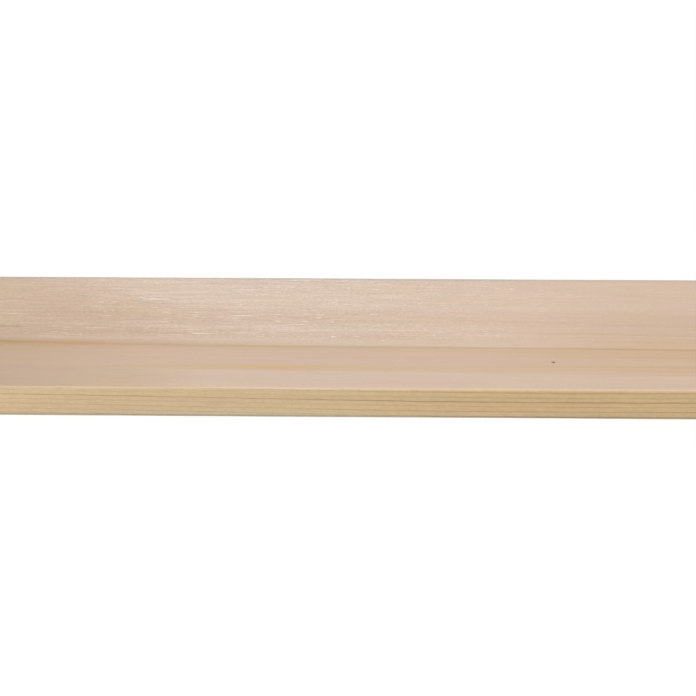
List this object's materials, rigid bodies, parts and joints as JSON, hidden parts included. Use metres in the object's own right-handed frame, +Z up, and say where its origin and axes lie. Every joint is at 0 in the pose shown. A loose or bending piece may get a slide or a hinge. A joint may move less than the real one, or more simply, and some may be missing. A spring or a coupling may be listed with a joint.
{
  "type": "timber plank",
  "caption": "Long flat planed softwood plank of rectangular section, with slightly rounded long edges and square sawn ends.",
  "frame": {"origin": "middle of the underside, on the floor that the plank lies on", "axes": "+X along the plank's length and grain, +Y across its width towards the back edge, +Z up through its thickness"},
  "size_m": [1.829, 0.089, 0.019],
  "materials": {
    "softwood": "planed, unfinished"
  },
  "bodies": {
    "root": {"plank": "softwood"}
  },
  "joints": []
}
